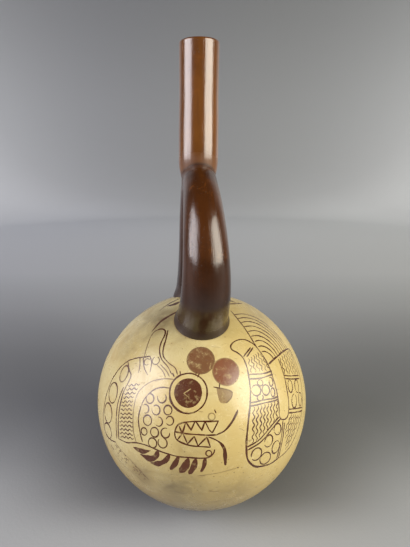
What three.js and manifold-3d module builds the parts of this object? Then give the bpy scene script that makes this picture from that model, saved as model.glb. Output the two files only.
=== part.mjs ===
// Stirrup spout vessel: a hollow fired-clay ball on a small flat base, with an arched tube on its
// crown whose two feet open into the ball, and an upright spout that rises from the top of the arch.
// Ball, arch and spout are luted and fired together, so they are one solid with one hollow inside.
// Millimetres, +Z up. The origin is the middle of the base, and one foot of the arch faces -Y.

import * as THREE from "three";
import { mergeVertices } from "three/addons/utils/BufferGeometryUtils.js";
import Module from "manifold-3d";

// ---- Driving dimensions ---------------------------------------------------------------------

const BALL_RADIUS = 70;
const BALL_WALL = 5;
const BASE_RADIUS = 24; // the flat that the ball stands on
const BASE_EDGE_RADIUS = 3;
const FLOOR_THICKNESS = 6.5;

const ARCH_TOP = 211.5; // height of the arch's centreline at its crown
const ARCH_WIDEST = 169; // height where the arch's two sides are furthest apart
const ARCH_HALF_WIDTH = 40.5; // from the axis to the centreline there
const CROWN_PULL = 23; // how far the crown stays level, then the shoulder upright
const SHOULDER_PULL = 22;
const LEG_PULL = 14;
const FOOT_REACH = 20; // where the centreline meets the ball, from the axis
const FOOT_HEIGHT = 128;
const FOOT_SLOPE = [8, 14]; // how the foot leans: outward, and up
const ARCH_TURN = THREE.MathUtils.degToRad(4.8); // the arch stands a little askew on the ball
const ARCH_SHIFT = -1.84;
const ARCH_BOW = 1.5; // sideways bend of its hand-rolled sides
const BOW_PLACE = 0.7; // how far down each side, as a share, the bend is greatest

const CROWN_RADIUS = 9.6; // outer radius of the tube, which swells evenly down to its feet
const CROWN_LENGTH = 20; // the crown's even stretch, to each side of the spout
const FOOT_RADIUS = 15.4;
const COLLAR_FLARE = 1.3; // the clay smoothed outward where each foot sits on the ball
const COLLAR_HEIGHT = 4;
const TUBE_WALL = 4;
const FOOT_SINK = 4; // how far the tube runs on into the ball's wall, and its hollow into the ball's
const HOLLOW_RUN_ON = 10;

const TOTAL_HEIGHT = 282.3;
const WAIST_HEIGHT = 212.3; // where the spout sits on the arch
const SPOUT_SIDE = [
  // the spout's outer side from its waist up: height above the waist, and radius
  [0, 9.95],
  [4.5, 10.9],
  [9, 11.34],
  [14, 11.4],
  [30, 11.24],
  [43, 10.87],
];
const SPOUT_SINK = 5; // its lower end, set into the arch, and how much thinner it is there
const SINK_TAPER = 1.5;
const SPOUT_BORE = 8;
const BORE_NARROWS = [14, 4]; // heights above the arch's crown where it starts to narrow, and stops
const LIP_ROUNDING = 1.2;
const SPOUT_FOOT_X = -1.9; // the spout's axis at the arch, and at the rim
const SPOUT_RIM_X = -0.9;

// Faces round each form and along it
const BALL_SIDES = 56;
const BALL_RINGS = 13; // above the ball's middle, and two fewer below
const TUBE_SIDES = 28;
const TUBE_STEPS = 42;
const SPOUT_SIDES = 32;
const INNER_SIDES = 18;
const INNER_STEPS = 28;
const INNER_BALL_SIDES = 36;
const INNER_BALL_RINGS = 15;
const MOUTH_SIDES = 24;

// ---- Worked out from them -------------------------------------------------------------------

const ballCentre = Math.sqrt(BALL_RADIUS ** 2 - BASE_RADIUS ** 2);
const { lerp, clamp } = THREE.MathUtils;
const point = (x, y) => new THREE.Vector2(x, y);

const wasm = await Module();
wasm.setup();

// A closed geometry as a solid that can be joined and cut.
function solid(geometry) {
  const bare = geometry.clone();
  bare.deleteAttribute("normal");
  bare.deleteAttribute("uv");
  const merged = mergeVertices(bare, 1e-4);
  return new wasm.Manifold(
    new wasm.Mesh({
      numProp: 3,
      vertProperties: merged.attributes.position.array,
      triVerts: new Uint32Array(merged.index.array),
    }),
  );
}

// A solid back as a geometry.
function geometryOf(made) {
  const mesh = made.getMesh();
  const positions = new THREE.BufferAttribute(mesh.vertProperties, mesh.numProp);
  const geometry = new THREE.BufferGeometry().setAttribute("position", positions);
  geometry.setIndex(new THREE.BufferAttribute(mesh.triVerts, 1));
  geometry.computeVertexNormals();
  return geometry;
}

// Points on a circle of the profile plane, from one angle to another in radians above level.
function arc(radius, centreX, centreZ, from, to, steps) {
  return Array.from({ length: steps + 1 }, (_, i) => {
    const angle = lerp(from, to, i / steps);
    return point(centreX + radius * Math.cos(angle), centreZ + radius * Math.sin(angle));
  });
}

// A profile of radius and height, from its lower end on the axis to its upper one, turned about +Z.
function turned(profile, sides) {
  return new THREE.LatheGeometry(profile, sides).rotateX(Math.PI / 2);
}

// Moves every vertex of a geometry by a function that changes the point it is given.
function reshaped(geometry, change) {
  const positions = geometry.attributes.position;
  const vertex = new THREE.Vector3();
  for (let i = 0; i < positions.count; i++) {
    change(vertex.fromBufferAttribute(positions, i));
    positions.setXYZ(i, vertex.x, vertex.y, vertex.z);
  }
  return geometry;
}

// ---- The ball -------------------------------------------------------------------------------

// The base's edge is an arc that touches both the floor and the ball.
function ballOuter() {
  const edgeZ = BASE_EDGE_RADIUS;
  const edgeX = Math.sqrt((BALL_RADIUS - edgeZ) ** 2 - (ballCentre - edgeZ) ** 2);
  const meets = Math.atan2(edgeZ - ballCentre, edgeX);
  const edge = arc(BASE_EDGE_RADIUS, edgeX, edgeZ, -Math.PI / 2, meets, 4);
  const lower = arc(BALL_RADIUS, 0, ballCentre, meets, 0, BALL_RINGS - 2).slice(1, -1);
  const upper = arc(BALL_RADIUS, 0, ballCentre, 0, Math.PI / 2, BALL_RINGS).slice(0, -1);
  const crown = point(0, ballCentre + BALL_RADIUS);
  return turned([point(0, 0), ...edge, ...lower, ...upper, crown], BALL_SIDES);
}

function ballHollow() {
  const radius = BALL_RADIUS - BALL_WALL;
  const floor = Math.asin((FLOOR_THICKNESS - ballCentre) / radius);
  const side = arc(radius, 0, ballCentre, floor, Math.PI / 2, INNER_BALL_RINGS).slice(0, -1);
  const crown = point(0, ballCentre + radius);
  return turned([point(0, FLOOR_THICKNESS), ...side, crown], INNER_BALL_SIDES);
}

// ---- The arch -------------------------------------------------------------------------------

// Half of the arch's centreline, from the crown down to a foot, as distance out and height.
const halfArch = new THREE.CurvePath();
halfArch.add(
  new THREE.CubicBezierCurve(
    point(0, ARCH_TOP),
    point(CROWN_PULL, ARCH_TOP),
    point(ARCH_HALF_WIDTH, ARCH_WIDEST + SHOULDER_PULL),
    point(ARCH_HALF_WIDTH, ARCH_WIDEST),
  ),
);
halfArch.add(
  new THREE.CubicBezierCurve(
    point(ARCH_HALF_WIDTH, ARCH_WIDEST),
    point(ARCH_HALF_WIDTH, ARCH_WIDEST - LEG_PULL),
    point(FOOT_REACH + FOOT_SLOPE[0], FOOT_HEIGHT + FOOT_SLOPE[1]),
    point(FOOT_REACH, FOOT_HEIGHT),
  ),
);
const halfLength = halfArch.getLength();
const footWay = halfArch.getTangent(1);

// The centreline at a distance along it from the crown, and its direction there. Past the foot it
// runs straight on into the ball.
function alongArch(distance) {
  const share = Math.min(distance / halfLength, 1);
  const place = halfArch.getPoint(share).addScaledVector(footWay, Math.max(distance - halfLength, 0));
  return { place, way: halfArch.getTangent(share) };
}

// Outer radius of the tube at that distance, without the collar.
function tubeRadius(distance) {
  const swelling = clamp((distance - CROWN_LENGTH) / (halfLength - CROWN_LENGTH), 0, 1);
  return lerp(CROWN_RADIUS, FOOT_RADIUS, swelling);
}

// How far the collar stands out from the tube, by height above the ball.
function collarFlare(height) {
  return COLLAR_FLARE * Math.exp(-((Math.max(height, 0) / COLLAR_HEIGHT) ** 2));
}

// Sideways bend at that distance.
function bow(distance) {
  const share = clamp(distance / halfLength, 0, 1);
  return ARCH_BOW * Math.sin(Math.PI * share ** (Math.log(0.5) / Math.log(BOW_PLACE)));
}

// The tube along the whole arch: a cylinder of unit size, bent over the centreline. It runs on past
// each foot. The tube's hollow is thinner than its outside by the wall, and has no collar.
function archTube(wall, runOn, sides, steps) {
  const reach = halfLength + runOn;
  const ballMiddle = new THREE.Vector3(0, 0, ballCentre);
  const bent = reshaped(new THREE.CylinderGeometry(1, 1, 2, sides, steps), (vertex) => {
    const side = Math.sign(vertex.y) || 1; // -1 for the half towards -Y
    const distance = Math.abs(vertex.y) * reach;
    const { place, way } = alongArch(distance);
    const middle = new THREE.Vector3(0, side * place.x, place.y);
    // Across the tube: sideways, and in the arch's plane away from its hollow
    const across = new THREE.Vector3(vertex.x, -side * way.y * vertex.z, way.x * vertex.z);
    vertex.copy(middle).addScaledVector(across, tubeRadius(distance) - wall);
    if (wall === 0) {
      const height = vertex.distanceTo(ballMiddle) - BALL_RADIUS;
      vertex.addScaledVector(across, collarFlare(height));
    }
    vertex.x += bow(distance);
  });
  return bent.rotateZ(ARCH_TURN).translate(ARCH_SHIFT, 0, 0);
}

// ---- The spout ------------------------------------------------------------------------------

// The spout's axis leans a little: its sideways place at a height.
function lean(geometry) {
  return reshaped(geometry, (vertex) => {
    const share = (vertex.z - WAIST_HEIGHT) / (TOTAL_HEIGHT - WAIST_HEIGHT);
    vertex.x += lerp(SPOUT_FOOT_X, SPOUT_RIM_X, clamp(share, 0, 1));
  });
}

function spoutOuter() {
  const sunk = WAIST_HEIGHT - SPOUT_SINK;
  const sidePoints = SPOUT_SIDE.map(([height, radius]) => point(radius, WAIST_HEIGHT + height));
  const [waistPoint, rimPoint] = [sidePoints.at(0), sidePoints.at(-1)];
  const lipZ = TOTAL_HEIGHT - LIP_ROUNDING;
  const lip = arc(LIP_ROUNDING, rimPoint.x - LIP_ROUNDING, lipZ, 0, Math.PI / 2, 4);
  const profile = [
    point(0, sunk),
    point(waistPoint.x - SINK_TAPER, sunk),
    ...new THREE.SplineCurve(sidePoints).getPoints(12),
    ...lip,
    point(0, TOTAL_HEIGHT),
  ];
  return lean(turned(profile, SPOUT_SIDES));
}

// The hollow widens at the mouth in a quarter round, and narrows to the arch's own hollow below.
function spoutHollow() {
  const lipZ = TOTAL_HEIGHT - LIP_ROUNDING;
  const archBore = CROWN_RADIUS - TUBE_WALL;
  const lip = arc(LIP_ROUNDING, SPOUT_BORE + LIP_ROUNDING, lipZ, Math.PI, Math.PI / 2, 4);
  const [upper, lower] = BORE_NARROWS.map((height) => ARCH_TOP + height);
  const clear = TOTAL_HEIGHT + 2; // the cut runs on past the rim
  const profile = [
    point(0, ARCH_TOP),
    point(archBore, ARCH_TOP),
    point(archBore, lower),
    point(SPOUT_BORE, upper),
    ...lip,
    point(SPOUT_BORE + LIP_ROUNDING, clear),
    point(0, clear),
  ];
  return lean(turned(profile, MOUTH_SIDES));
}

// ---- The vessel -----------------------------------------------------------------------------

const outside = solid(ballOuter())
  .add(solid(archTube(0, FOOT_SINK, TUBE_SIDES, TUBE_STEPS)))
  .add(solid(spoutOuter()));
const hollow = solid(ballHollow())
  .add(solid(archTube(TUBE_WALL, HOLLOW_RUN_ON, INNER_SIDES, INNER_STEPS)))
  .add(solid(spoutHollow()));

const slip = new THREE.MeshStandardMaterial({ color: 0xdcc9a0, roughness: 0.55, metalness: 0 });
const vessel = new THREE.Mesh(geometryOf(outside.subtract(hollow)), slip);
vessel.name = "vessel";

const group = new THREE.Group();
group.add(vessel);

export default group;
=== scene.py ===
"""Stirrup spout vessel: a hollow ball of fired clay in painted cream slip, with an arched tube and
an upright spout in burnished red-brown slip. Shapes are worked out in millimetres, made in metres."""

import math
import random

import bpy
import numpy as np
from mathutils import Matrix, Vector, geometry, kdtree


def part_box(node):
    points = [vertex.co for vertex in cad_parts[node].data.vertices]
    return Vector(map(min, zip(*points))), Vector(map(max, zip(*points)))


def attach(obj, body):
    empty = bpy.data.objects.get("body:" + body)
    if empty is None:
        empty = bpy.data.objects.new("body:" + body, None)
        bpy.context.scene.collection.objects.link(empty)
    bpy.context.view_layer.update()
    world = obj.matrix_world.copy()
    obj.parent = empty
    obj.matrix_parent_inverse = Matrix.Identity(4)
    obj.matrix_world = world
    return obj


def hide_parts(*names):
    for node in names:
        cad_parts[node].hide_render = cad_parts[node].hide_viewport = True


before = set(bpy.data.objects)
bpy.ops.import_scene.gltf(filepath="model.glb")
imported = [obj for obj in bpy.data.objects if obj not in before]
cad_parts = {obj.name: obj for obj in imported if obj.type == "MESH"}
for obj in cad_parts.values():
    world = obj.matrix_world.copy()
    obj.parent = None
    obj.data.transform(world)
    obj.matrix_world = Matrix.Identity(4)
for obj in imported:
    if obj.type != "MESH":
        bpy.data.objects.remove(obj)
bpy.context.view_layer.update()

MM = 0.001

# ---- Driving dimensions, as in the model -----------------------------------------------------

vessel_low, vessel_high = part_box("vessel")
BALL_RADIUS = (vessel_high.x - vessel_low.x) / 2 / MM
TOTAL_HEIGHT = vessel_high.z / MM
BALL_WALL = 5
BASE_RADIUS = 24
BASE_EDGE_RADIUS = 3
FLOOR_THICKNESS = 6.5

ARCH_TOP = 211.5
ARCH_WIDEST = 169
ARCH_HALF_WIDTH = 40.5
CROWN_PULL = 23
SHOULDER_PULL = 22
LEG_PULL = 14
FOOT_REACH = 20
FOOT_HEIGHT = 128
FOOT_SLOPE = (8, 14)
ARCH_TURN = math.radians(4.8)
ARCH_SHIFT = -1.84
ARCH_BOW = 1.5
BOW_PLACE = 0.7

CROWN_RADIUS = 9.6
CROWN_LENGTH = 20
FOOT_RADIUS = 15.4
COLLAR_FLARE = 1.3
COLLAR_HEIGHT = 4
TUBE_WALL = 4
FOOT_SINK = 4
HOLLOW_RUN_ON = 10

WAIST_HEIGHT = 212.3
SPOUT_SIDE = [(0, 9.95), (4.5, 10.9), (9, 11.34), (14, 11.4), (30, 11.24), (43, 10.87)]
SPOUT_SINK = 5
SINK_TAPER = 1.5
SPOUT_BORE = 8
BORE_NARROWS = (14, 4)
LIP_ROUNDING = 1.2
SPOUT_FOOT_X = -1.9
SPOUT_RIM_X = -0.9
SLIP_INSIDE_RIM = 14  # how far down inside the spout the red slip was brushed

# How fine the meshes are
BALL_SPACING = 2.4  # between the ball's points, away from the painting
BORDER_SIDES = 160
TUBE_SIDES = 72
TUBE_STEPS = 230
SPOUT_SIDES = 96
INNER_SIDES = 40
INNER_STEPS = 90
HOLLOW_SIDES = 64  # of the hollows in the ball and the spout
CLEAR_OF_STROKES = 0.55  # how near to a stroke the ball has no points of its own
CREASE_ANGLE = 38  # edges sharper than this, in degrees, stay sharp
FAR_FROM_JOINTS = 30  # distances to a joint are kept up to here

CREAM, RED, CLAY = 0, 1, 2  # the kinds of surface, which are also the material slots

ball_centre = math.sqrt(BALL_RADIUS**2 - BASE_RADIUS**2)
edge_x = math.sqrt((BALL_RADIUS - BASE_EDGE_RADIUS) ** 2 - (ball_centre - BASE_EDGE_RADIUS) ** 2)
base_meets = math.atan2(BASE_EDGE_RADIUS - ball_centre, edge_x)  # where the base's edge begins

# Where each surface lies on the baked map: low and high corners of its rectangle
MAP_BALL = ((0.005, 0.005), (0.805, 0.805))
MAP_ARCH = ((0.005, 0.815), (0.62, 0.995))
MAP_SPOUT = ((0.63, 0.815), (0.82, 0.995))
MAP_SPOUT_HOLLOW = ((0.83, 0.815), (0.995, 0.995))
MAP_BALL_HOLLOW = ((0.815, 0.405), (0.995, 0.805))
MAP_ARCH_HOLLOW = ((0.815, 0.2), (0.995, 0.395))
MAP_BASE = ((0.815, 0.01), (0.995, 0.19))


# ---- Curves ----------------------------------------------------------------------------------


def bezier(a, b, c, d, steps=300):
    """Points of a cubic Bezier curve."""
    t = np.linspace(0, 1, steps + 1)[:, None]
    a, b, c, d = (np.array(p, float) for p in (a, b, c, d))
    return a * (1 - t) ** 3 + 3 * b * t * (1 - t) ** 2 + 3 * c * t**2 * (1 - t) + d * t**3


def smooth(points, per_span):
    """A Catmull-Rom curve through points of any width, with per_span steps between two of them."""
    p = np.array(points, float)
    p = np.vstack([p[:1], p, p[-1:]])
    t = np.linspace(0, 1, per_span, endpoint=False)[:, None]
    spans = []
    for p0, p1, p2, p3 in zip(p, p[1:], p[2:], p[3:]):
        v1, v2 = (p2 - p0) / 2, (p3 - p1) / 2
        spans.append(
            (2 * p1 - 2 * p2 + v1 + v2) * t**3 + (3 * p2 - 3 * p1 - 2 * v1 - v2) * t**2 + v1 * t + p1
        )
    return np.vstack([*spans, p[-1:]])


def arc(radius, centre_x, centre_z, start, end, steps):
    """Points of a circle in the profile plane, between two angles above level."""
    angle = np.linspace(start, end, steps + 1)
    return np.stack([centre_x + radius * np.cos(angle), centre_z + radius * np.sin(angle)], 1)


def lengths(points):
    """Distance along a row of points."""
    return np.concatenate([[0], np.cumsum(np.linalg.norm(np.diff(points, axis=0), axis=1))])


def evenly(points, step):
    """The same row of points, at even distances of about step."""
    marks = lengths(points)
    count = max(int(round(marks[-1] / step)), 2)
    at = np.linspace(0, marks[-1], count + 1)
    return np.stack([np.interp(at, marks, column) for column in points.T], 1)


# ---- The arch's centreline -------------------------------------------------------------------

half_arch = np.vstack(
    [
        bezier(
            (0, ARCH_TOP),
            (CROWN_PULL, ARCH_TOP),
            (ARCH_HALF_WIDTH, ARCH_WIDEST + SHOULDER_PULL),
            (ARCH_HALF_WIDTH, ARCH_WIDEST),
        ),
        bezier(
            (ARCH_HALF_WIDTH, ARCH_WIDEST),
            (ARCH_HALF_WIDTH, ARCH_WIDEST - LEG_PULL),
            (FOOT_REACH + FOOT_SLOPE[0], FOOT_HEIGHT + FOOT_SLOPE[1]),
            (FOOT_REACH, FOOT_HEIGHT),
        )[1:],
    ]
)
half_marks = lengths(half_arch)
half_length = half_marks[-1]
half_ways = np.gradient(half_arch, half_marks, axis=0)
half_ways /= np.linalg.norm(half_ways, axis=1)[:, None]


def along_arch(distance):
    """Place (out, up) and direction of the centreline at distances from the crown."""
    inside = np.minimum(distance, half_length)
    place = np.stack([np.interp(inside, half_marks, c) for c in half_arch.T], -1)
    way = np.stack([np.interp(inside, half_marks, c) for c in half_ways.T], -1)
    way /= np.linalg.norm(way, axis=-1)[..., None]
    return place + way * np.maximum(distance - half_length, 0)[..., None], way


def tube_radius(distance):
    swelling = np.clip((distance - CROWN_LENGTH) / (half_length - CROWN_LENGTH), 0, 1)
    return CROWN_RADIUS + (FOOT_RADIUS - CROWN_RADIUS) * swelling


def collar_flare(height):
    return COLLAR_FLARE * np.exp(-((np.maximum(height, 0) / COLLAR_HEIGHT) ** 2))


def bow(distance):
    share = np.clip(distance / half_length, 0, 1)
    return ARCH_BOW * np.sin(np.pi * share ** (math.log(0.5) / math.log(BOW_PLACE)))


def stand_arch(points):
    """The arch's own frame into the vessel's: it is turned a little and stands a little aside."""
    c, s = math.cos(ARCH_TURN), math.sin(ARCH_TURN)
    x, y, z = points[..., 0], points[..., 1], points[..., 2]
    return np.stack([x * c - y * s + ARCH_SHIFT, x * s + y * c, z], -1)


def from_ball_centre(points):
    return np.linalg.norm(points - np.array([0, 0, ball_centre]), axis=-1)


# ---- Shells: closed surfaces that are joined and cut -----------------------------------------


class Shell:
    """Triangles with a place on the baked map, a kind, and a grain: coordinates in which the surface
    runs straight up its third axis."""

    def __init__(self, points, triangles, uvs, kinds, grain):
        self.points = np.array(points, float)
        self.triangles = np.array(triangles, int)
        self.uvs = np.array(uvs, float)
        self.kinds = np.broadcast_to(kinds, len(self.triangles)).astype(float)
        self.grain = np.array(grain, float)
        self.paint = {}
        corners = self.points[self.triangles]
        volume = np.einsum("ij,ij->i", corners[:, 0], np.cross(corners[:, 1], corners[:, 2])).sum()
        if volume < 0:
            self.triangles = self.triangles[:, ::-1]
            self.uvs = self.uvs[:, ::-1]
            self.grain = self.grain[:, ::-1]


def on_map(rectangle, share):
    """Shares across and up a rectangle of the map as map coordinates."""
    corner, opposite = np.array(rectangle[0]), np.array(rectangle[1])
    return corner + (opposite - corner) * share


def grid_shell(rows, ends, rectangle, kinds, grain, end_grain):
    """A closed tube of rings, rows[ring, side], with a point at each end that closes it."""
    rings, sides = rows.shape[:2]
    points = np.vstack([rows.reshape(-1, 3), ends])
    first, last = rings * sides, rings * sides + 1
    across = lengths(rows[:, 0])
    total = across[-1] + 2
    share = (across + 1) / total
    triangles, shares, grains = [], [], []
    for i in range(sides):
        j = (i + 1) % sides
        u0, u1 = i / sides, (i + 1) / sides
        for k in range(rings - 1):
            a, b = k * sides + i, k * sides + j
            c, d = a + sides, b + sides
            va, vb = share[k], share[k + 1]
            triangles += [(a, b, d), (a, d, c)]
            shares += [((u0, va), (u1, va), (u1, vb)), ((u0, va), (u1, vb), (u0, vb))]
            ga, gb, gc, gd = grain[k, i], grain[k, j], grain[k + 1, i], grain[k + 1, j]
            grains += [(ga, gb, gd), (ga, gd, gc)]
        b0, b1 = i, j
        t0, t1 = (rings - 1) * sides + i, (rings - 1) * sides + j
        triangles += [(first, b1, b0), (last, t0, t1)]
        shares += [(((u0 + u1) / 2, 0), (u1, share[0]), (u0, share[0]))]
        shares += [(((u0 + u1) / 2, 1), (u0, share[-1]), (u1, share[-1]))]
        grains += [(end_grain[0], grain[0, j], grain[0, i]), (end_grain[1], grain[-1, i], grain[-1, j])]
    return Shell(points, triangles, on_map(rectangle, np.array(shares)), kinds, grains)


def arch_shell(wall, run_on, sides, steps, rectangle, kinds):
    """The tube along the whole arch, or its hollow, past each foot by run_on. Its tone of 1 tells the
    red slip that this is the arch."""
    reach = half_length + run_on
    along = np.linspace(-reach, reach, steps + 1)
    side = np.where(along < 0, -1.0, 1.0)
    distance = np.abs(along)
    place, way = along_arch(distance)
    middle = np.stack([np.zeros_like(along), side * place[:, 0], place[:, 1]], 1)
    turn = np.linspace(0, 2 * np.pi, sides, endpoint=False)
    normal = np.stack([np.zeros_like(along), -side * way[:, 1], way[:, 0]], 1)
    level = np.cos(turn)[None, :, None] * np.array([1.0, 0, 0])
    across = level + np.sin(turn)[None, :, None] * normal[:, None]
    radius = (tube_radius(distance) - wall)[:, None, None]
    rows = middle[:, None] + across * radius
    if wall == 0:
        rows = rows + across * collar_flare(from_ball_centre(rows) - BALL_RADIUS)[..., None]
    shift = bow(distance)
    rows[..., 0] += shift[:, None]
    ends = middle[[0, -1]] + np.stack([shift[[0, -1]], [0, 0], [0, 0]], 1)
    round_x, round_y = radius[..., 0] * np.cos(turn), radius[..., 0] * np.sin(turn)
    grain = np.stack(np.broadcast_arrays(round_x, round_y, along[:, None]), -1)
    end_grain = [(0, 0, along[0]), (0, 0, along[-1])]
    shell = grid_shell(stand_arch(rows), stand_arch(ends), rectangle, kinds, grain, end_grain)
    shell.paint = {"tone": np.ones(len(shell.triangles))}
    return shell


def lean(z):
    """Sideways place of the spout's axis at a height."""
    share = np.clip((z - WAIST_HEIGHT) / (TOTAL_HEIGHT - WAIST_HEIGHT), 0, 1)
    return SPOUT_FOOT_X + (SPOUT_RIM_X - SPOUT_FOOT_X) * share


def turned_shell(profile, sides, rectangle, kinds, leans=False):
    """A profile of radius and height from axis to axis, turned about +Z."""
    profile = np.array(profile, float)
    turn = np.linspace(0, 2 * np.pi, sides, endpoint=False)
    body, tips = profile[1:-1], profile[[0, -1]]
    rows = np.stack(
        np.broadcast_arrays(body[:, :1] * np.cos(turn), body[:, :1] * np.sin(turn), body[:, 1:]), -1
    ).copy()
    ends = np.stack([np.zeros(2), np.zeros(2), tips[:, 1]], 1)
    if leans:
        rows[..., 0] += lean(rows[..., 2])
        ends[:, 0] += lean(ends[:, 2])
    return grid_shell(rows, ends, rectangle, kinds, rows, ends)


spout_side = smooth([(radius, WAIST_HEIGHT + up) for up, radius in SPOUT_SIDE], 10)


def spout_shell():
    sunk = WAIST_HEIGHT - SPOUT_SINK
    waist, rim = SPOUT_SIDE[0][1], SPOUT_SIDE[-1][1]
    lip_z = TOTAL_HEIGHT - LIP_ROUNDING
    lip = arc(LIP_ROUNDING, rim - LIP_ROUNDING, lip_z, 0, math.pi / 2, 8)
    straight = np.linspace(spout_side[-1], lip[0], 26)[1:-1]
    sunk_end = [(0, sunk), (waist - SINK_TAPER, sunk)]
    profile = np.vstack([sunk_end, spout_side, straight, lip, (0, TOTAL_HEIGHT)])
    return turned_shell(profile, SPOUT_SIDES, MAP_SPOUT, RED, leans=True)


def spout_hollow_shell():
    bore = CROWN_RADIUS - TUBE_WALL
    lip_z = TOTAL_HEIGHT - LIP_ROUNDING
    lip = arc(LIP_ROUNDING, SPOUT_BORE + LIP_ROUNDING, lip_z, math.pi, math.pi / 2, 8)
    upper, lower = (ARCH_TOP + height for height in BORE_NARROWS)
    clear = TOTAL_HEIGHT + 2
    slip_ends = TOTAL_HEIGHT - SLIP_INSIDE_RIM
    profile = np.vstack(
        [
            (0, ARCH_TOP),
            (bore, ARCH_TOP),
            (bore, lower),
            np.linspace((bore, lower), (SPOUT_BORE, upper), 6)[1:],
            (SPOUT_BORE, slip_ends),
            lip,
            (SPOUT_BORE + LIP_ROUNDING, clear),
            (0, clear),
        ]
    )
    shell = turned_shell(profile, HOLLOW_SIDES, MAP_SPOUT_HOLLOW, CLAY, leans=True)
    middle = shell.points[shell.triangles].mean(1)
    shell.kinds = np.where(middle[:, 2] > slip_ends, RED, CLAY).astype(float)
    return shell


def ball_hollow_shell():
    radius = BALL_RADIUS - BALL_WALL
    floor = math.asin((FLOOR_THICKNESS - ball_centre) / radius)
    side = arc(radius, 0, ball_centre, floor, math.pi / 2, 40)[:-1]
    profile = np.vstack([(0, FLOOR_THICKNESS), side, (0, ball_centre + radius)])
    return turned_shell(profile, HOLLOW_SIDES, MAP_BALL_HOLLOW, CLAY)


# ---- The painting ----------------------------------------------------------------------------

FINE, LINE = 0.45, 0.62  # widths of brush lines
SPREAD = 0.2  # how much the wet slip widens a line
DARK, UMBER, ROSE = 0.0, 0.5, 1.0  # tones of the paint, from dark brown to a pinkish brown


class Chart:
    """A flat drawing laid on the ball: millimetres right and up from a point on its side, measured
    along the surface. Azimuth 0 faces -Y."""

    def __init__(self, azimuth, elevation):
        a, e = math.radians(azimuth), math.radians(elevation)
        self.out = np.array([math.sin(a) * math.cos(e), -math.cos(a) * math.cos(e), math.sin(e)])
        self.right = np.array([math.cos(a), math.sin(a), 0])
        self.up = np.cross(self.right, -self.out)

    def wrap(self, points):
        """Chart places as unit vectors from the ball's centre."""
        points = np.array(points, float)
        reach = np.linalg.norm(points, axis=-1)[..., None]
        angle = reach / BALL_RADIUS
        aside = points / np.maximum(reach, 1e-9) * np.sin(angle)
        return np.cos(angle) * self.out + aside[..., :1] * self.right + aside[..., 1:] * self.up


def flatten(directions):
    """The ball's surface as a plane, spread round the crown, on which circles stay circles."""
    return directions[..., :2] / (1 + directions[..., 2:])


def unflatten(places):
    square = (places**2).sum(-1)[..., None]
    return np.concatenate([2 * places, 1 - square], -1) / (1 + square)


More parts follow.
